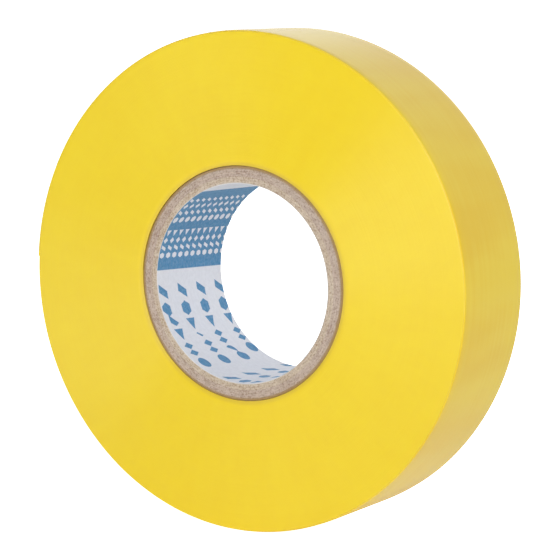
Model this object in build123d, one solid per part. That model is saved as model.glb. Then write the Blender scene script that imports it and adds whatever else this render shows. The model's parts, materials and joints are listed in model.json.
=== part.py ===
from build123d import *
from math import degrees, pi
import os

# Roll of PVC electrical insulating tape on a spiral-wound paperboard core.
#
# Frame, in millimetres: +Z up, the roll's axis along Y, the front face at -Y.
# The origin is the centre of the bore, and the roll stands on its rim like a wheel.
# Angles are in degrees round the axis, counterclockwise from +X seen from the front.
# The tape is wound the same way, so its radius grows counterclockwise.

# ---- driving dimensions -------------------------------------------------------------
TAPE_WIDTH = 19.0
FILM_THICKNESS = 0.15
ADHESIVE_THICKNESS = 0.04
LAPS = 110

BORE_RADIUS = 15.7
CORE_LENGTH = 18.6            # 0.2 mm short of the tape at each end
LINER_THICKNESS = 0.12
INNER_PLY_THICKNESS = 0.46
INNER_PLIES = 2
OUTER_PLY_THICKNESS = 0.425
OUTER_PLIES = 4

FREE_END_START = 105.0        # the free end leaves the stuck lap here
SEGMENTS = 12                 # short lengths that the free end bends between
SEGMENT_ANGLE = 6.0
SEGMENT_GAP = 0.02            # slit between two lengths, at the hinge
LIFT_CLEARANCE = 0.01         # air between the free end and the lap under it

# ---- derived dimensions -------------------------------------------------------------
LAP_PITCH = FILM_THICKNESS + ADHESIVE_THICKNESS
CORE_WALL = LINER_THICKNESS + INNER_PLIES * INNER_PLY_THICKNESS + OUTER_PLIES * OUTER_PLY_THICKNESS
CORE_RADIUS = BORE_RADIUS + CORE_WALL
TAPE_END = FREE_END_START + SEGMENTS * SEGMENT_ANGLE
BLOCK_RADIUS = CORE_RADIUS + (LAPS - 1) * LAP_PITCH   # under the free end, up to its tip

# A spiral of semicircles: each half turn has its centre a quarter pitch to one side,
# so that the radius grows by one pitch in a turn and every lap nests on the last.
UPPER_CENTRE = -LAP_PITCH / 4
LOWER_CENTRE = LAP_PITCH / 4


def arc(centre_x, radius, start, end):
    """Arc round a point of the X axis, in the sketch plane of the roll's face."""
    return CenterArc((centre_x, 0), radius, start, end - start)


def slab(face, width):
    """Extrude a face of the sketch plane to the given width, centred on the roll."""
    on_axis = Plane(origin=(0, 0, 0), x_dir=(1, 0, 0), z_dir=(0, -1, 0))
    return extrude(on_axis * face, amount=width / 2, both=True)


def tube(inner_radius, thickness, length):
    """Plain tube along the roll's axis."""
    ring = Circle(inner_radius + thickness) - Circle(inner_radius)
    return slab(ring, length)


def strip(turns, depth, thickness):
    """Tape-wide strip along a run of arcs.

    turns holds (centre_x, radius, start, end) of the surface that the tape lies on.
    The strip begins at depth above that surface.
    """
    inside = [arc(x, radius + depth, start, end) for x, radius, start, end in turns]
    outside = [arc(x, radius + depth + thickness, start, end) for x, radius, start, end in turns]
    ends = [
        Line(inside[0] @ 0, outside[0] @ 0),
        Line(inside[-1] @ 1, outside[-1] @ 1),
    ]
    return slab(make_face(inside + outside + ends), TAPE_WIDTH)


def core_plies():
    """Concentric layers of the paper tube, from the bore outwards."""
    layers = [("liner_paper", LINER_THICKNESS)]
    layers += [(f"inner_ply_{n}", INNER_PLY_THICKNESS) for n in range(1, INNER_PLIES + 1)]
    layers += [(f"outer_ply_{n}", OUTER_PLY_THICKNESS) for n in range(1, OUTER_PLIES + 1)]
    plies = {}
    radius = BORE_RADIUS
    for name, thickness in layers:
        plies[name] = tube(radius, thickness, CORE_LENGTH)
        radius += thickness
    return plies


def wound_tape():
    """All the laps but the outermost, bonded into one block with a spiral outside.

    The step at TAPE_END is where the outermost lap begins.
    """
    older_radius = BLOCK_RADIUS - LAP_PITCH
    edge = [
        arc(UPPER_CENTRE, BLOCK_RADIUS, 0, TAPE_END),
        arc(UPPER_CENTRE, older_radius, TAPE_END, 180),
        arc(LOWER_CENTRE, BLOCK_RADIUS - LAP_PITCH / 2, 180, 360),
    ]
    step = Line(edge[0] @ 1, edge[1] @ 0)
    block = make_face(edge + [step]) - Circle(CORE_RADIUS)
    return slab(block, TAPE_WIDTH)


def outer_lap():
    """The outermost lap where it is stuck down, from the step round to the free end."""
    turns = [
        (UPPER_CENTRE, BLOCK_RADIUS - LAP_PITCH, TAPE_END, 180),
        (LOWER_CENTRE, BLOCK_RADIUS - LAP_PITCH / 2, 180, 360),
        (UPPER_CENTRE, BLOCK_RADIUS, 0, FREE_END_START),
    ]
    return {
        "outer_lap_adhesive": strip(turns, 0, ADHESIVE_THICKNESS),
        "outer_lap_film": strip(turns, ADHESIVE_THICKNESS, FILM_THICKNESS),
    }


def free_end():
    """The peelable end: short lengths of film and adhesive, hinged at the film's outside."""
    half_gap = degrees(SEGMENT_GAP / 2 / BLOCK_RADIUS)
    pieces = {}
    for n in range(1, SEGMENTS + 1):
        start = FREE_END_START + (n - 1) * SEGMENT_ANGLE + half_gap
        end = FREE_END_START + n * SEGMENT_ANGLE - half_gap
        turns = [(UPPER_CENTRE, BLOCK_RADIUS, start, end)]
        coat = ADHESIVE_THICKNESS - LIFT_CLEARANCE
        pieces[f"end_adhesive_{n}"] = strip(turns, LIFT_CLEARANCE, coat)
        pieces[f"end_film_{n}"] = strip(turns, ADHESIVE_THICKNESS, FILM_THICKNESS)
    return pieces


def hinge_lines():
    """Where each length of the free end hinges on the one before it, in the XZ plane."""
    hinge_radius = BLOCK_RADIUS + LAP_PITCH
    for n in range(SEGMENTS):
        point = arc(UPPER_CENTRE, hinge_radius, 0, FREE_END_START + n * SEGMENT_ANGLE) @ 1
        yield n + 1, point.X, point.Y


def main():
    os.makedirs("parts", exist_ok=True)
    parts = core_plies()
    parts["wound_tape"] = wound_tape()
    parts.update(outer_lap())
    parts.update(free_end())
    for name, solid in parts.items():
        solid.label = name
        export_step(solid, f"parts/{name}.step")

    wound_area = pi * ((CORE_RADIUS + LAPS * LAP_PITCH) ** 2 - CORE_RADIUS**2)
    print(f"{len(parts)} nodes, about {wound_area / LAP_PITCH / 1000:.1f} m of tape")
    print(f"core {2 * CORE_RADIUS:.2f} mm, roll {2 * (BLOCK_RADIUS + LAP_PITCH):.2f} mm")
    for n, x, z in hinge_lines():
        print(f"hinge {n}: x {x:.4f}, z {z:.4f}")


main()
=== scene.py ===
# Looks of a roll of yellow electrical tape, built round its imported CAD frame.
#
# The frame is the part's own: metres, +Z up, the roll's axis along Y, the front face at -Y.
# Angles are in degrees round the axis, counterclockwise from +X seen from the front.
# Lengths are in millimetres until a mesh is made; UV maps are in millimetres too.

import json
import math

import bmesh
import bpy
import numpy as np
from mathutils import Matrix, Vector


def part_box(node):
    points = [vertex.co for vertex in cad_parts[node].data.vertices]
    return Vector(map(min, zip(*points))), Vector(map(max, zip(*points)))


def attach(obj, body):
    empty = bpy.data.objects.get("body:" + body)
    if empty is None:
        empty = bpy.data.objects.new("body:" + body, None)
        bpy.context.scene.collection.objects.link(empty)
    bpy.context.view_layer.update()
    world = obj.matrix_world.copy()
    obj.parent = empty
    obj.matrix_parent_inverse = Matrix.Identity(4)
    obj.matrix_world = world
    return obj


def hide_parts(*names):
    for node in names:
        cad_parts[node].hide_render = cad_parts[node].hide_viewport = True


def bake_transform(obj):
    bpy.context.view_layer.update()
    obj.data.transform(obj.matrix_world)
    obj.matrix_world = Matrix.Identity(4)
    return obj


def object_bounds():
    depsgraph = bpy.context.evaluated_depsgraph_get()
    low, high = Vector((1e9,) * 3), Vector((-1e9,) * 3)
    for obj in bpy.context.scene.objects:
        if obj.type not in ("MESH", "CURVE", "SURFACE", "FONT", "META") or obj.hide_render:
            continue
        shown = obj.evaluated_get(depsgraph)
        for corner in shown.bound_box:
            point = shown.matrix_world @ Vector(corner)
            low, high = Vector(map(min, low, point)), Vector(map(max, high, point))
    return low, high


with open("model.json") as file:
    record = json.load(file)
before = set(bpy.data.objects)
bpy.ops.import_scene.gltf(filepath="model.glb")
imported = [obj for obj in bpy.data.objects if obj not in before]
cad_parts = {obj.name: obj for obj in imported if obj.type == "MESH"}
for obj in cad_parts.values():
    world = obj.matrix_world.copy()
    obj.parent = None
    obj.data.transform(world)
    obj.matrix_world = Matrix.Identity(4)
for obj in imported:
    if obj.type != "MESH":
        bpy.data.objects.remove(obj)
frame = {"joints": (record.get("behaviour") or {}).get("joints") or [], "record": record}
cad_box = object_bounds()

MM = 0.001


# ---- sizes read from the frame ------------------------------------------------------------

def box_mm(node):
    """Lowest and highest corners of a CAD node, in millimetres."""
    return [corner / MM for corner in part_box(node)]


def hinge_angle(joint):
    """Angle round the roll of a free-end hinge, measured from the centre of its half turn."""
    x, _, z = joint["pos_m"]
    return math.degrees(math.atan2(z, x + LAP / 4 * MM))


block_low, block_high = box_mm("wound_tape")
LAP = 2 * (block_high.z + block_low.z)      # growth in radius per turn
BLOCK_RADIUS = block_high.z
HALF_WIDTH = block_high.y
ADHESIVE = box_mm("outer_lap_adhesive")[1].z - BLOCK_RADIUS
CORE_RADIUS = box_mm("outer_ply_4")[1].x
CORE_HALF_LENGTH = box_mm("outer_ply_4")[1].y
BORE_RADIUS = frame["record"]["mounts"][0]["dims"]["r_mm"]
TURNS = round((BLOCK_RADIUS - CORE_RADIUS) / LAP)     # laps under the outermost one

HINGES = [hinge_angle(joint) for joint in frame["joints"]]
SEGMENT = HINGES[1] - HINGES[0]
TAPE_END = HINGES[-1] + SEGMENT             # also where the outermost lap begins

# ---- shape details --------------------------------------------------------------------------

LIFT = 0.01                   # air under the free end
EDGE_DROOP = 0.09             # the outer laps sag at their edges by this much
EDGE_DROOP_REACH = 2.4        # over this much of the tape's width
EDGE_DROOP_DEPTH = 3.0        # and down to this depth in the roll
CORNER_DEPTH = 0.09           # rounding of the outermost film's corners
CORNER_REACH = 0.32
OUTER_SHOULDER = 0.07         # the outer laps' cut edges lean in by this much
OUTER_SHOULDER_REACH = 0.7
INNER_SHOULDER = 0.22         # and so do the innermost laps'
INNER_SHOULDER_REACH = 1.3
GROOVE = 0.007                # the adhesive sits this far below the cut edges of the film
BEND_LEAD = 0.29              # share of a hinge's bend that comes before the hinge
TURN_STEPS = 120
FILM_STEP = 0.5               # degrees

random = np.random.default_rng(19)


def spiral(angle, height=0.0):
    """Point (x, z) above the surface that the tape lies on, where the last turn ends at TAPE_END + 360."""
    half_turn = np.floor(np.asarray(angle, float) / 180)
    centre = np.where(half_turn % 2 == 0, -LAP / 4, LAP / 4)
    radius = BLOCK_RADIUS + (half_turn - 2) * LAP / 2 + height
    turned = np.radians(angle)
    return centre + radius * np.cos(turned), radius * np.sin(turned)


def winding_wave(angle):
    """Slight unevenness of the outer laps' radius, the same in each turn."""
    a = np.radians(angle)
    return 0.011 * np.sin(4 * a + 1.1) + 0.009 * np.sin(7 * a + 2.7) + 0.005 * np.sin(13 * a)


def sagged(x, z, from_edge):
    """Points drawn in towards the axis, the more so near the tape's edges and the rim."""
    radius = np.hypot(x, z)
    depth = BLOCK_RADIUS + LAP - radius
    droop = EDGE_DROOP * np.clip(1 - from_edge / EDGE_DROOP_REACH, 0, 1) ** 3
    scale = 1 - droop * np.clip(1 - depth / EDGE_DROOP_DEPTH, 0, None) ** 2 / radius
    return x * scale, z * scale


def corner_drop(from_edge):
    """Rounding of the outermost film, by the distance from its edge."""
    left = np.clip(1 - from_edge / CORNER_REACH, 0, 1)
    return CORNER_DEPTH * (1 - np.sqrt(1 - left**2))


def shoulder(depth):
    """How far the cut edges lean in, by the depth under the outermost surface."""
    return OUTER_SHOULDER * np.clip(1 - depth / OUTER_SHOULDER_REACH, 0, 1) ** 2


# ---- mesh helpers -----------------------------------------------------------------------------

def make_piece(name, points, faces, uv=None, sharp=40):
    """Object of a closed mesh. points are in millimetres; uv holds one pair for each point."""
    mesh = bpy.data.meshes.new(name)
    mesh.from_pydata(np.asarray(points) * MM, [], faces)
    work = bmesh.new()
    work.from_mesh(mesh)
    bmesh.ops.recalc_face_normals(work, faces=work.faces)
    work.to_mesh(mesh)
    work.free()
    mesh.shade_smooth()
    mesh.set_sharp_from_angle(angle=math.radians(sharp))
    if uv is not None:
        corners = np.empty(len(mesh.loops), int)
        mesh.loops.foreach_get("vertex_index", corners)
        layer = mesh.uv_layers.new(name="flat")
        layer.data.foreach_set("uv", np.asarray(uv, np.float32)[corners].ravel())
    piece = bpy.data.objects.new(name, mesh)
    bpy.context.scene.collection.objects.link(piece)
    return piece


def ring_faces(rings, per_ring, closed):
    """Quads between rings of points, each a closed cross-section.

    Open runs get end caps, which pair each point with the one opposite it in its ring.
    """
    faces = []
    for ring in range(rings if closed else rings - 1):
        a = ring * per_ring
        b = (ring + 1) % rings * per_ring
        for i in range(per_ring):
            n = (i + 1) % per_ring
            faces.append((a + i, a + n, b + n, b + i))
    if not closed:
        for first in (0, (rings - 1) * per_ring):
            for i in range(per_ring // 2 - 1):
                far = per_ring - 1 - i
                faces.append((first + i, first + i + 1, first + far - 1, first + far))
    return faces


def dress(piece, material):
    """Give a piece its one material."""
    piece.data.materials.append(material)


# ---- tape -----------------------------------------------------------------------------------------

def across_tape():
    """Distances from the tape's edge to its middle, closer together near the edge."""
    corner = CORNER_REACH * (1 - np.sin(np.radians(np.linspace(90, 15, 6))))
    return np.concatenate([corner, [0.4, 0.6, 0.9, 1.3, 1.8, 2.4, 3.6, 5.2, 7.2, HALF_WIDTH]])


def tape_strip(name, start, end, low, high, corner, recess):
    """A length of the outermost lap, between two heights above the surface that it lies on."""
    angles = np.linspace(start, end, round((end - start) / FILM_STEP) + 1)
    from_edge = across_tape()
    from_edge = np.concatenate([from_edge, from_edge[-2::-1]])
    side = np.sign(np.arange(len(from_edge)) - len(from_edge) // 2)
    near = np.clip(1 - from_edge / 2, 0, 1)
    y = []
    for depth in (LAP - high, LAP - low):
        inset = shoulder(depth) + recess
        y.append(side * (HALF_WIDTH - from_edge - inset * near))
    y = np.concatenate([y[0], y[1][::-1]])
    height = np.concatenate([high - corner * corner_drop(from_edge), np.full(len(from_edge), low)])
    from_edge = np.concatenate([from_edge, from_edge[::-1]])
    points = []
    uv = []
    for angle in angles:
        x, z = sagged(*spiral(angle, height + winding_wave(angle)), from_edge)
        points.append(np.stack([x, y, z], axis=1))
        along = math.radians(angle) * BLOCK_RADIUS
        uv.append(np.stack([np.full(len(y), along), y], axis=1))
    faces = ring_faces(len(angles), len(y), closed=False)
    return make_piece(name, np.concatenate(points), faces, np.concatenate(uv))


def lap_weave(turns):
    """Axial drift of the tape as it was wound, by turns from the core."""
    knots = random.normal(0, 0.005, TURNS * 5 + 10)
    slow = 0.016 * np.sin(turns / 6.1 + 1) + 0.009 * np.sin(turns / 2.3 + 2)
    return slow + np.interp(turns * 5, np.arange(len(knots)), knots)


def wound_laps():
    """All the laps under the outermost one: a spiral of cut edges on both faces."""
    steps = TURN_STEPS
    count = (TURNS + 1) * steps + 1
    turn = np.arange(count) / steps
    angle = TAPE_END + 360 * (turn - TURNS)
    # the unevenness fades towards the core, where the laps are wound on a true round
    x, z = spiral(angle, winding_wave(angle) * (turn / TURNS) ** 4)
    radius = np.hypot(x, z)
    grow = np.maximum(radius, CORE_RADIUS) / radius
    edge = np.stack([x * grow, z * grow], axis=1)
    weave = lap_weave(turn)

    # tracks along each lap: the edge of the lap below, the adhesive, and the start of the film
    laps = TURNS * steps + 1
    tracks = [(0.0, 0.0), (0.5 * ADHESIVE / LAP, GROOVE), (ADHESIVE / LAP, 0.0)]
    points = []
    first = []
    for share, recess in tracks:
        used = count if share == 0 else laps
        here = edge[:used]
        if share:
            here = edge[:laps] * (1 - share) + edge[steps:] * share
        here_radius = np.hypot(here[:, 0], here[:, 1])
        depth = BLOCK_RADIUS + LAP - here_radius
        inner = np.clip(1 - (here_radius - CORE_RADIUS) / INNER_SHOULDER_REACH, 0, 1)
        half = HALF_WIDTH - recess - shoulder(depth) - INNER_SHOULDER * inner**2
        here_x, here_z = sagged(here[:, 0], here[:, 1], 0.0)
        for side in (-1, 1):
            first.append(sum(len(p) for p in points))
            points.append(np.stack([here_x, side * half + weave[:used], here_z], axis=1))

    faces = []
    for side in (0, 1):
        rows = [first[2 * t + side] for t in range(len(tracks))] + [first[side] + steps]
        k = np.arange(laps - 1)
        for low, high in zip(rows, rows[1:]):
            quads = np.stack([low + k, low + k + 1, high + k + 1, high + k], axis=1)
            faces += quads.tolist()

    # the wall at the core, and the rim, which sags towards its edges
    k = np.arange(steps)
    inner_wall = np.stack([first[0] + k, first[0] + k + 1, first[1] + k + 1, first[1] + k], axis=1)
    faces += inner_wall.tolist()
    from_edge = np.array([0.3, 0.6, 0.9, 1.3, 1.8, 2.4, 5.0])
    columns = np.concatenate([from_edge, 2 * HALF_WIDTH - from_edge[::-1]])
    rim_first = sum(len(p) for p in points)
    rim_turns = np.arange(laps - 1, count)
    for column in columns:
        flat_x, flat_z = spiral(angle[rim_turns], winding_wave(angle[rim_turns]))
        rim_x, rim_z = sagged(flat_x, flat_z, min(column, 2 * HALF_WIDTH - column))
        points.append(np.stack([rim_x, np.full(len(rim_x), column - HALF_WIDTH), rim_z], axis=1))
    rows = [first[0] + laps - 1] + [rim_first + c * len(rim_turns) for c in range(len(columns))]
    rows.append(first[1] + laps - 1)
    for low, high in zip(rows, rows[1:]):
        faces += np.stack([low + k, low + k + 1, high + k + 1, high + k], axis=1).tolist()

    # where the spiral starts at the core and where it ends at the rim
    start = [first[0], first[2], first[4], first[0] + steps]
    start += [first[1] + steps, first[5], first[3], first[1]]
    last = laps - 1
    end = rows + [first[3] + last, first[5] + last] + [row + steps for row in rows[::-1]]
    end += [first[4] + last, first[2] + last]
    faces += [start, end]
    return make_piece("wound_laps", np.concatenate(points), faces, sharp=60)


# ---- core -------------------------------------------------------------------------------------------

BOARD_STEPS = 360
BOARD_ROUNDING = 0.05
OUTSIDE_ROUNDING = 0.22       # the tube's outer corner, worn back where the tape meets it
BOARD_ROUGHNESS = 0.012


def board_ply(name, inner, outer):
    """One layer of the paper tube, with cut ends that are slightly uneven."""
    share = np.array([0, 0.06, 0.2, 0.4, 0.6, 0.8, 0.94, 1])
    inset = BOARD_ROUNDING * np.array([1, 0.35, 0, 0.1, 0, 0.1, 0.35, 1])
    if outer == CORE_RADIUS:
        inset += OUTSIDE_ROUNDING * np.array([0, 0, 0, 0, 0.03, 0.2, 0.6, 1])
    radius = inner + (outer - inner) * share
    drift = random.uniform(0, 6.28, 4)
    level = random.normal(0, 0.012, 2)
    points = []
    for step in range(BOARD_STEPS):
        turned = 2 * math.pi * step / BOARD_STEPS
        sway = 0.012 * math.sin(3 * turned + drift[0]) + 0.008 * math.sin(11 * turned + drift[1])
        rough = random.normal(0, BOARD_ROUGHNESS, (2, len(share)))
        front = -CORE_HALF_LENGTH + inset + sway + level[0] + rough[0]
        back = CORE_HALF_LENGTH - inset + sway + level[1] + rough[1]
        y = np.concatenate([front, back[::-1]])
        r = np.concatenate([radius, radius[::-1]])
        points.append(np.stack([r * math.cos(turned), y, r * math.sin(turned)], axis=1))
    faces = ring_faces(BOARD_STEPS, 2 * len(share), closed=True)
    return make_piece(name, np.concatenate(points), faces, sharp=50)


SEAM_FRONT = 199.5            # angle of the liner's seam at the front edge
SEAM_SLOPE = 2.84             # degrees per millimetre along the axis
SEAM_GAP = 0.06
PRINT_ORIGIN = 478.0          # angle, one turn on, where the print's pattern starts
PRINT_DRIFT = 0.95            # axial drift of the print in one turn of the liner
LINER_STEPS = 300


def liner(inner, outer):
    """Printed paper strip glued inside the core, its ends meeting along a slanting seam."""
    gap = math.degrees(SEAM_GAP / inner)
    axial = np.array([0, 0.1, 1, 2.5, 4, 5.5, 7, 8.5, 10, 11.5, 13, 14.5, 16, 17.5, 18.5, 18.6])
    axial = axial * 2 * CORE_HALF_LENGTH / axial[-1]
    sides = [(axial, inner), (axial[::-1], outer)]
    points = []
    uv = []
    for step in range(LINER_STEPS + 1):
        turn = step / LINER_STEPS
        for v, radius in sides:
            angle = SEAM_FRONT + SEAM_SLOPE * v + gap / 2 + turn * (360 - gap)
            puff = 0.008 * np.sin(np.radians(angle * 5) + v / 4) * (radius == inner)
            lift = 0.03 * (turn < 0.004) * (radius == inner)
            a = np.radians(angle)
            r = radius - puff - lift
            points.append(np.stack([r * np.cos(a), v - CORE_HALF_LENGTH, r * np.sin(a)], axis=1))
            along = np.radians(angle - PRINT_ORIGIN) * inner
            uv.append(np.stack([along, v - PRINT_DRIFT * (1 - turn)], axis=1))
    faces = ring_faces(LINER_STEPS + 1, 2 * len(axial), closed=False)
    return make_piece("printed_liner", np.concatenate(points), faces, np.concatenate(uv))


# ---- material helpers ---------------------------------------------------------------------------------

class Nodes:
    """A material's node tree, with short calls that add a node and return its output."""

    def __init__(self, name, world=None):
        self.material = world or bpy.data.materials.new(name)
        self.material.use_nodes = True
        self.tree = self.material.node_tree
        self.shader = self.tree.nodes["Background" if world else "Principled BSDF"]

    def add(self, kind, inputs=(), **settings):
        node = self.tree.nodes.new("ShaderNode" + kind)
        for key, value in settings.items():
            setattr(node, key, value)
        for socket, value in dict(inputs).items():
            self.feed(node.inputs[socket], value)
        return node

    def feed(self, socket, value):
        """Link a socket, or set its value."""
        if isinstance(value, bpy.types.NodeSocket):
            self.tree.links.new(value, socket)
        else:
            socket.default_value = value

    def math(self, operation, *values):
        return self.add("Math", enumerate(values), operation=operation).outputs[0]

    def weighted(self, *parts):
        """Sum of values, each times its weight."""
        total = 0.0
        for value, weight in parts:
            total = self.math("MULTIPLY_ADD", value, weight, total)
        return total

    def span(self, value, low, high, to_low=0.0, to_high=1.0):
        """Smooth step of a value from one range to another."""
        inputs = {"Value": value, "From Min": low, "From Max": high, "To Min": to_low, "To Max": to_high}
        return self.add("MapRange", inputs, interpolation_type="SMOOTHSTEP").outputs[0]

    def noise(self, vector, scale, detail=2.0, roughness=0.5):
        inputs = {"Vector": vector, "Scale": scale, "Detail": detail, "Roughness": roughness}
        return self.add("TexNoise", inputs).outputs["Fac"]

    def vector(self, x, y, z=0.0):
        return self.add("CombineXYZ", {"X": x, "Y": y, "Z": z}).outputs[0]

    def stretched(self, x, x_scale, y, y_scale):
        """Flat vector of two values, each times its own scale."""
        return self.vector(self.math("MULTIPLY", x, x_scale), self.math("MULTIPLY", y, y_scale))

    def mix(self, factor, a, b):
        """Colour between two; each is a socket or three numbers."""
        node = self.add("Mix", {"Factor": factor}, data_type="RGBA")
        for socket, value in ((node.inputs[6], a), (node.inputs[7], b)):
            self.feed(socket, value if isinstance(value, bpy.types.NodeSocket) else (*value, 1))
        return node.outputs[2]

    def position_mm(self):
        """Place on the object, in millimetres."""
        place = self.add("TexCoord").outputs["Object"]
        return self.add("VectorMath", {0: place, "Scale": 1 / MM}, operation="SCALE").outputs[0]

    def round_axis(self):
        """Distance from the roll's axis and angle round it, in millimetres and radians."""
        parts = self.add("SeparateXYZ", {0: self.position_mm()}).outputs
        square = self.math("MULTIPLY_ADD", parts[2], parts[2], self.math("MULTIPLY", parts[0], parts[0]))
        return self.math("SQRT", square), self.math("ARCTAN2", parts[2], parts[0])

    def flat_mm(self):
        """The piece's own UV map: along and across, in millimetres."""
        parts = self.add("SeparateXYZ", {0: self.add("UVMap", uv_map="flat").outputs[0]}).outputs
        return parts[0], parts[1]

    def bump(self, height, distance, strength=1.0, normal=None):
        inputs = {"Height": height, "Distance": distance * MM, "Strength": strength}
        if normal is not None:
            inputs["Normal"] = normal
        return self.add("Bump", inputs).outputs[0]

    def outward(self):
        """Unit vector away from the roll's axis."""
        flat = {0: self.position_mm(), 1: (1, 0, 1)}
        flat = self.add("VectorMath", flat, operation="MULTIPLY").outputs[0]
        return self.add("VectorMath", {0: flat}, operation="NORMALIZE").outputs[0]

    def leaning_normal(self, lean):
        """Surface normal tipped away from the roll's axis by a small slope."""
        normal = self.add("NewGeometry").outputs["Normal"]
        tipped = {0: self.outward(), 1: (lean, lean, lean), 2: normal}
        tipped = self.add("VectorMath", tipped, operation="MULTIPLY_ADD").outputs[0]
        return self.add("VectorMath", {0: tipped}, operation="NORMALIZE").outputs[0]

    def finish(self, **values):
        """Set or link the shader's inputs, and return the material."""
        for key, value in values.items():
            self.feed(self.shader.inputs[key.replace("_", " ")], value)
        return self.material


# ---- materials ------------------------------------------------------------------------------------------

YELLOW = (0.892, 0.674, 0.010)
DEEP_YELLOW = (0.864, 0.622, 0.006)
FILM_PALE = (0.910, 0.674, 0.030)
FILM_DEEP = (0.870, 0.584, 0.008)
SHADED_YELLOW = (0.64, 0.44, 0.05)          # painted shade on the tape's face, next to the core
SPECK_BROWN = (0.42, 0.25, 0.05)
ADHESIVE_DARK = (0.70, 0.52, 0.06)
ADHESIVE_PALE = (0.80, 0.64, 0.14)
FLECK_BROWN = (0.13, 0.10, 0.08)
PAINTED_SHADE_BROWN = (0.33, 0.20, 0.05)            # painted shade and yellow bounce light on the board's outer edge, next to the tape
TAN_BOARD = [(0.33, 0.23, 0.15), (0.56, 0.46, 0.36), (0.74, 0.66, 0.56)]
GREY_BOARD = [(0.29, 0.20, 0.155), (0.51, 0.405, 0.335), (0.66, 0.56, 0.50)]
PAPER_WHITE = [(0.83, 0.83, 0.87), (0.89, 0.89, 0.93)]
PAPER_EDGE = (0.66, 0.60, 0.54)
PRINT_BLUE = [(0.078, 0.262, 0.475), (0.112, 0.315, 0.545)]

EDGE_LEAN = 0.05              # slope of each lap's cut edge, away from the axis


def cut_edge_vinyl():
    """The faces of the roll: cut film edges, with a sheen drawn out across the laps."""
    n = Nodes("vinyl_cut_edges")
    radius, angle = n.round_axis()
    place = n.position_mm()
    mottle = n.noise(place, 0.055, 3.0, 0.55)
    grain = n.noise(place, 0.9, 4.0, 0.6)
    lap_tone = n.noise(n.vector(n.math("MULTIPLY", radius, 1 / LAP), angle), 0.9, 3.0)
    # faint rays across the laps: the noise changes quickly round the roll, slowly along a radius
    rays = {0: n.outward(), 1: (11, 0, 11), 2: n.vector(0.0, n.math("MULTIPLY", radius, 0.12))}
    rays = n.noise(n.add("VectorMath", rays, operation="MULTIPLY_ADD").outputs[0], 1.0, 3.0, 0.6)
    tone = n.weighted((mottle, 0.35), (lap_tone, 0.2), (grain, 0.15), (rays, 0.3))
    colour = n.mix(n.span(tone, 0.27, 0.73), DEEP_YELLOW, YELLOW)
    # a speck of dust in some of the cells
    cells = n.add("TexVoronoi", {"Vector": place, "Scale": 0.075})
    speck = n.math("LESS_THAN", cells.outputs["Distance"], 0.012)
    chosen = n.math("GREATER_THAN", n.add("SeparateColor", {0: cells.outputs["Color"]}).outputs[0], 0.55)
    colour = n.mix(n.math("MULTIPLY", speck, chosen), colour, SPECK_BROWN)
    # painted shade: the tape's face darkens towards the core
    painted_core_shade = n.span(radius, CORE_RADIUS + 0.9, CORE_RADIUS, 0.0, 0.55)
    colour = n.mix(painted_core_shade, colour, SHADED_YELLOW)
    height = n.weighted((lap_tone, 0.7), (grain, 0.5))
    tangent = n.add("Tangent", direction_type="RADIAL", axis="Y").outputs[0]
    return n.finish(
        Base_Color=colour,
        Roughness=n.span(grain, 0.3, 0.7, 0.36, 0.42),
        Specular_IOR_Level=0.8,
        Anisotropic=0.92,
        Anisotropic_Rotation=0.25,
        Tangent=tangent,
        Normal=n.bump(height, 0.006, 0.6, n.leaning_normal(EDGE_LEAN)),
    )


def film_vinyl():
    """The smooth outside of the film: glossy, with faint patches where the adhesive has wetted."""
    n = Nodes("vinyl_film")
    along, across = n.flat_mm()
    patches = n.noise(n.stretched(along, 0.075, across, 0.02), 1.0, 3.0)
    drawn = n.noise(n.stretched(along, 0.03, across, 1.4), 1.0, 2.0)
    tone = n.weighted((patches, 0.8), (drawn, 0.2))
    colour = n.mix(n.span(tone, 0.36, 0.64), FILM_DEEP, FILM_PALE)
    return n.finish(Base_Color=colour, Roughness=0.27, Normal=n.bump(drawn, 0.0004))


def adhesive_coat():
    """Rubber-resin coat: dull, tacky, the film's yellow showing through."""
    n = Nodes("adhesive_coat")
    along, across = n.flat_mm()
    streak = n.noise(n.stretched(along, 0.25, across, 1.6), 1.0, 4.0, 0.6)
    return n.finish(
        Base_Color=n.mix(n.span(streak, 0.3, 0.7), ADHESIVE_DARK, ADHESIVE_PALE),
        Roughness=n.span(streak, 0.3, 0.7, 0.5, 0.68),
        Normal=n.bump(streak, 0.01),
    )


def board(name, dark, mid, light):
    """Raw paperboard: layered fibres along the winding, dark flecks and a dusty finish."""
    n = Nodes(name)
    radius, angle = n.round_axis()
    place = n.position_mm()
    along = n.math("MULTIPLY", angle, CORE_RADIUS)
    fibre = n.noise(n.stretched(radius, 7.0, along, 0.9), 1.0, 5.0, 0.65)
    cloud = n.noise(place, 0.35, 3.0)
    speckle = n.noise(place, 3.8, 3.0, 0.7)
    tone = n.weighted((fibre, 0.4), (speckle, 0.47), (cloud, 0.13))
    colour = n.mix(n.span(tone, 0.38, 0.52), dark, mid)
    colour = n.mix(n.span(tone, 0.50, 0.66), colour, light)
    cells = n.add("TexVoronoi", {"Vector": place, "Scale": 1.1})
    fleck = n.span(cells.outputs["Distance"], 0.10, 0.05)
    chosen = n.math("GREATER_THAN", n.add("SeparateColor", {0: cells.outputs["Color"]}).outputs[0], 0.8)
    colour = n.mix(n.math("MULTIPLY", n.math("MULTIPLY", fleck, chosen), 0.7), colour, FLECK_BROWN)
    # painted shade and yellow bounce light from the tape: the board darkens and yellows towards its outer
    # edge
    painted_shade_and_bounce = n.span(radius, CORE_RADIUS - 0.70, CORE_RADIUS - 0.20, 0.0, 0.85)
    colour = n.mix(painted_shade_and_bounce, colour, PAINTED_SHADE_BROWN)
    height = n.weighted((fibre, 1.0), (speckle, 0.8))
    return n.finish(Base_Color=colour, Roughness=0.9, Normal=n.bump(height, 0.04))


# ---- the liner's print: rows of plain shapes ----------------------------------------------------------

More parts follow.
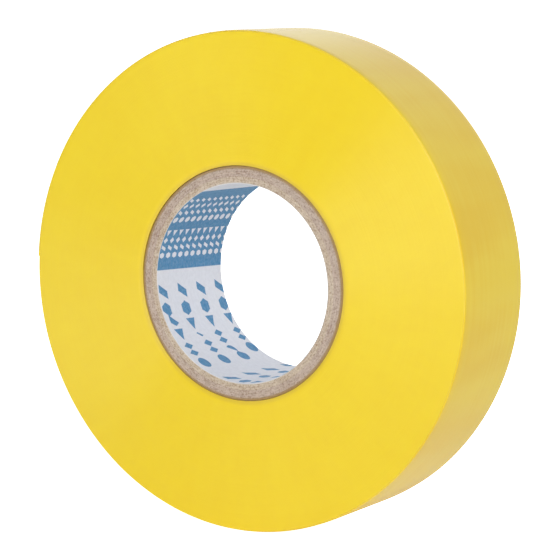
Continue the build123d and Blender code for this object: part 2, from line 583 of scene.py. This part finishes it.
PRINT_PERIOD = 48.5           # millimetres along the strip
PRINT_SKEW = 0.052
BAND_LENGTH = 16.4
WORD_PITCH = 5.33             # between columns of large marks, along the axis
WORD_FIRST = 1.33
WORD_HALF = 1.12
TINY_PITCH = 1.77
TINY_HALF = 0.58


def lozenge(n, p, q):
    return n.math("ADD", n.math("ABSOLUTE", p), n.math("ABSOLUTE", q))


def slanted_bar(n, p, q):
    lean = n.math("MULTIPLY_ADD", q, -0.45, p)
    return n.math("MAXIMUM", n.math("DIVIDE", n.math("ABSOLUTE", lean), 0.5), n.math("ABSOLUTE", q))


def triangle(n, p, q):
    sides = n.math("MULTIPLY_ADD", n.math("ABSOLUTE", q), 2.0, p)
    return n.math("MAXIMUM", n.math("MULTIPLY", p, -1.0), sides)


def hexagon(n, p, q):
    wide = n.math("ABSOLUTE", q)
    return n.math("MAXIMUM", wide, n.math("MULTIPLY_ADD", wide, 0.5, n.math("ABSOLUTE", p)))


def disc(n, p, q):
    return n.math("MULTIPLY_ADD", p, p, n.math("MULTIPLY", q, q))


def twin_lozenge(n, p, q):
    apart = n.math("ABSOLUTE", n.math("SUBTRACT", n.math("ABSOLUTE", p), 0.52))
    return n.math("MULTIPLY_ADD", apart, 2.1, n.math("ABSOLUTE", q))


# shape, where it starts and its length along the strip, in millimetres
LARGE_MARKS = [
    (slanted_bar, 18.6, 2.6), (hexagon, 21.6, 2.5), (triangle, 24.6, 2.1),
    (twin_lozenge, 27.2, 2.9), (disc, 30.6, 2.4), (slanted_bar, 36.2, 2.4), (hexagon, 39.0, 1.8),
]
LATE_MARKS = [(triangle, 41.5, 2.1), (lozenge, 44.2, 2.6)]     # only on the strip's first half
TINY_MARKS = [
    (slanted_bar, 2.5, 1.2), (lozenge, 4.0, 1.2), (slanted_bar, 5.5, 1.2), (hexagon, 7.0, 1.2),
    (triangle, 9.6, 1.1), (lozenge, 10.9, 1.1), (slanted_bar, 12.2, 1.1), (hexagon, 13.5, 1.0),
]


def column_of_marks(n, along, across, marks, pitch, first, half, wobble):
    """Ink from 0 to 1 for marks that repeat across the strip at a pitch."""
    centred = n.math("WRAP", n.math("SUBTRACT", across, first), pitch / 2, -pitch / 2)
    q = n.math("DIVIDE", centred, half)
    ink = None
    for shape, start, length in marks:
        p = n.math("DIVIDE", n.math("SUBTRACT", along, start + length / 2), length / 2)
        inside = n.span(n.math("ADD", shape(n, p, q), wobble), 1.06, 0.94)
        ink = inside if ink is None else n.math("MAXIMUM", ink, inside)
    return ink


def printed_paper():
    """White liner paper with a blue band and rows of plain geometric marks."""
    n = Nodes("printed_liner_paper")
    u, v = n.flat_mm()
    flat = n.vector(u, v)
    ragged = n.noise(flat, 5.0, 3.0, 0.6)
    wobble = n.math("MULTIPLY", n.math("SUBTRACT", ragged, 0.5), 0.25)
    along = n.math("ADD", n.math("MULTIPLY_ADD", v, -PRINT_SKEW, u), PRINT_SKEW * CORE_HALF_LENGTH)
    along = n.math("WRAP", along, PRINT_PERIOD, 0.0)
    edge = n.math("MULTIPLY", wobble, 0.3)
    band_place = n.math("ABSOLUTE", n.math("SUBTRACT", n.math("ADD", along, edge), BAND_LENGTH / 2))
    band = n.span(band_place, BAND_LENGTH / 2 + 0.04, BAND_LENGTH / 2 - 0.04)
    tiny = column_of_marks(n, along, v, TINY_MARKS, TINY_PITCH, 0.7, TINY_HALF, wobble)
    large = column_of_marks(n, along, v, LARGE_MARKS, WORD_PITCH, WORD_FIRST, WORD_HALF, wobble)
    late = column_of_marks(n, along, v, LATE_MARKS, WORD_PITCH, WORD_FIRST, WORD_HALF, wobble)
    late = n.math("MULTIPLY", late, n.math("LESS_THAN", u, -PRINT_PERIOD))
    ink = n.math("MAXIMUM", n.math("SUBTRACT", band, tiny), n.math("MAXIMUM", large, late))
    radius, _ = n.round_axis()
    cut_edge = n.math("GREATER_THAN", radius, BORE_RADIUS + 0.02)
    solid = n.span(n.noise(flat, 2.2, 4.0, 0.7), 0.25, 0.6, 0.86, 1.0)
    pulp = n.noise(flat, 1.4, 4.0, 0.65)
    paper = n.mix(n.span(pulp, 0.3, 0.7), *PAPER_WHITE)
    blue = n.mix(n.span(pulp, 0.3, 0.7), *PRINT_BLUE)
    printed = n.mix(n.math("MULTIPLY", ink, solid), paper, blue)
    return n.finish(
        Base_Color=n.mix(cut_edge, printed, PAPER_EDGE),
        Roughness=n.span(ink, 0.0, 1.0, 0.62, 0.5),
        Specular_IOR_Level=0.2,
        Normal=n.bump(n.noise(flat, 0.8, 5.0, 0.6), 0.02),
    )


# ---- build the roll --------------------------------------------------------------------------------------

def build_core():
    tan = board("tan_board", *TAN_BOARD)
    grey = board("grey_brown_board", *GREY_BOARD)
    edge = box_mm("liner_paper")[1].x
    paper = liner(BORE_RADIUS, edge)
    dress(paper, printed_paper())
    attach(paper, "roll")
    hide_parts("liner_paper")
    plies = [("inner", k, tan) for k in (1, 2)] + [("outer", k, grey) for k in (1, 2, 3, 4)]
    for kind, k, material in plies:
        node = f"{kind}_ply_{k}"
        outer = box_mm(node)[1].x
        ply = board_ply(f"core_{kind}_board_{k}", edge, outer)
        dress(ply, material)
        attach(ply, "roll")
        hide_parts(node)
        edge = outer


def build_tape():
    vinyl = film_vinyl()
    glue = adhesive_coat()
    laps = wound_laps()
    dress(laps, cut_edge_vinyl())
    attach(laps, "roll")
    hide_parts("wound_tape")
    # layer, material, slot; heights of its underside where stuck and where free, and of its top;
    # whether its corners are rounded, and how far its cut edge is set back
    layers = [
        ("film", vinyl, "vinyl_film", ADHESIVE, ADHESIVE, LAP, 1, 0.0),
        ("adhesive", glue, "adhesive", 0.0, LIFT, ADHESIVE, 0, GROOVE),
    ]
    bodies = ["roll"] + [joint["child"] for joint in frame["joints"]]
    bends = [hinge + 360 - BEND_LEAD * SEGMENT for hinge in HINGES]
    for layer, material, slot_name, stuck_low, free_low, *shape in layers:
        lap = tape_strip(f"last_lap_{layer}", TAPE_END, bends[0], stuck_low, *shape)
        dress(lap, material)
        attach(lap, "roll")
        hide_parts(f"outer_lap_{layer}")
        for k, start in enumerate(bends):
            piece = tape_strip(f"free_{layer}_{k + 1}", start, start + SEGMENT, free_low, *shape)
            dress(piece, material)
            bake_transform(piece)
            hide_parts(f"end_{layer}_{k + 1}")
        tip_start = bends[-1] + SEGMENT
        tip = tape_strip(f"free_{layer}_tip", tip_start, TAPE_END + 360, free_low, *shape)
        dress(tip, material)
        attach(tip, bodies[-1])
        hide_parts(f"end_{layer}_{len(HINGES)}")


# ---- floor, light and camera ----------------------------------------------------------------------------

CAMERA_AZIMUTH = 31.505
CAMERA_ELEVATION = 7.24
CAMERA_DISTANCE = 0.3751
CAMERA_LENS = 151.73          # on a 36 mm sensor
AIM_RIGHT = 1.28              # the camera looks at a point this far from the bore's centre
AIM_UP = -0.39

# brightness, where 1 is white paper in full light
WALL_LIGHT = 0.73
LEFT_WALL_LIGHT = 0.54
CEILING_LIGHT = 0.41
FLOOR_LIGHT = 0.20
FLOOR_SEEN = 0.90             # and this much more where the camera sees it
BACKGROUND_SEEN = 1.2

# name, azimuth and elevation in degrees, distance and side in metres, brightness
SOFTBOXES = [
    ("low_front", 20, 4, 0.9, 0.3, 5.8),
    ("front_left", -45, 20, 0.6, 0.3, 0.7),
    ("above_camera", 30, 30, 0.8, 0.4, 5.8),
]
FLOOR_SIZE = 3.0


def direction(azimuth, elevation):
    """Unit vector towards a place round the object, as the views name it."""
    a = math.radians(azimuth)
    e = math.radians(elevation)
    return Vector((math.sin(a) * math.cos(e), -math.cos(a) * math.cos(e), math.sin(e)))


def place_camera():
    back = direction(CAMERA_AZIMUTH, CAMERA_ELEVATION)
    right = Vector((-back.y, back.x, 0)).normalized()
    up = back.cross(right)
    data = bpy.data.cameras.new("camera")
    data.lens = CAMERA_LENS
    data.sensor_width = 36
    data.clip_start = 0.01
    data.clip_end = 50
    camera = bpy.data.objects.new("camera", data)
    bpy.context.scene.collection.objects.link(camera)
    camera.location = (right * AIM_RIGHT + up * AIM_UP) * MM + back * CAMERA_DISTANCE
    camera.rotation_mode = "QUATERNION"
    camera.rotation_quaternion = (-back).to_track_quat("-Z", "Y")
    bpy.context.scene.camera = camera


def softbox(name, azimuth, elevation, distance, size, radiance):
    """Square area light that faces the roll."""
    data = bpy.data.lights.new(name, "AREA")
    data.shape = "SQUARE"
    data.size = size
    data.energy = radiance * math.pi * size**2
    lamp = bpy.data.objects.new(name, data)
    bpy.context.scene.collection.objects.link(lamp)
    towards = direction(azimuth, elevation)
    lamp.location = towards * distance
    lamp.rotation_mode = "QUATERNION"
    lamp.rotation_quaternion = towards.to_track_quat("Z", "Y")


def studio_world():
    """White walls, brighter behind on the left, dim overhead and in front; seen directly, all white."""
    world = bpy.data.worlds.new("studio")
    bpy.context.scene.world = world
    n = Nodes(None, world)
    parts = n.add("SeparateXYZ", {0: n.add("TexCoord").outputs["Generated"]}).outputs
    behind = n.span(parts["Y"], -0.2, 0.2, 0.0, WALL_LIGHT)
    left = n.span(parts["X"], 0.35, -0.1, 0.0, LEFT_WALL_LIGHT)
    left = n.math("MULTIPLY", left, n.span(parts["Y"], 0.1, 0.5))
    walls = n.math("MULTIPLY", n.math("ADD", behind, left), n.span(parts["Z"], 0.7, 0.3))
    light = n.math("ADD", walls, n.span(parts["Z"], 0.3, 0.7, 0.0, CEILING_LIGHT))
    seen = n.add("LightPath").outputs["Is Camera Ray"]
    n.feed(n.shader.inputs["Strength"], n.math("MAXIMUM", light, n.math("MULTIPLY", seen, BACKGROUND_SEEN)))
    n.feed(n.shader.inputs["Color"], (1, 1, 1, 1))


def build_floor():
    """Plain white sweep under the roll."""
    mesh = bpy.data.meshes.new("floor")
    sides = [(-1, -1), (1, -1), (1, 1), (-1, 1)]
    corners = [(x * FLOOR_SIZE, y * FLOOR_SIZE, cad_box[0].z) for x, y in sides]
    mesh.from_pydata(corners, [], [(0, 1, 2, 3)])
    floor = bpy.data.objects.new("floor", mesh)
    bpy.context.scene.collection.objects.link(floor)
    n = Nodes("white_sweep")
    seen = n.add("LightPath").outputs["Is Camera Ray"]
    mesh.materials.append(n.finish(
        Base_Color=(0.9, 0.9, 0.9, 1),
        Roughness=0.8,
        Emission_Color=(1, 1, 1, 1),
        Emission_Strength=n.math("MULTIPLY_ADD", seen, FLOOR_SEEN, FLOOR_LIGHT),
    ))


def light_scene():
    studio_world()
    for settings in SOFTBOXES:
        softbox(*settings)
    bpy.context.scene.view_settings.view_transform = "Standard"
    bpy.context.scene.cycles.use_denoising = True


build_core()
build_tape()
build_floor()
light_scene()
place_camera()
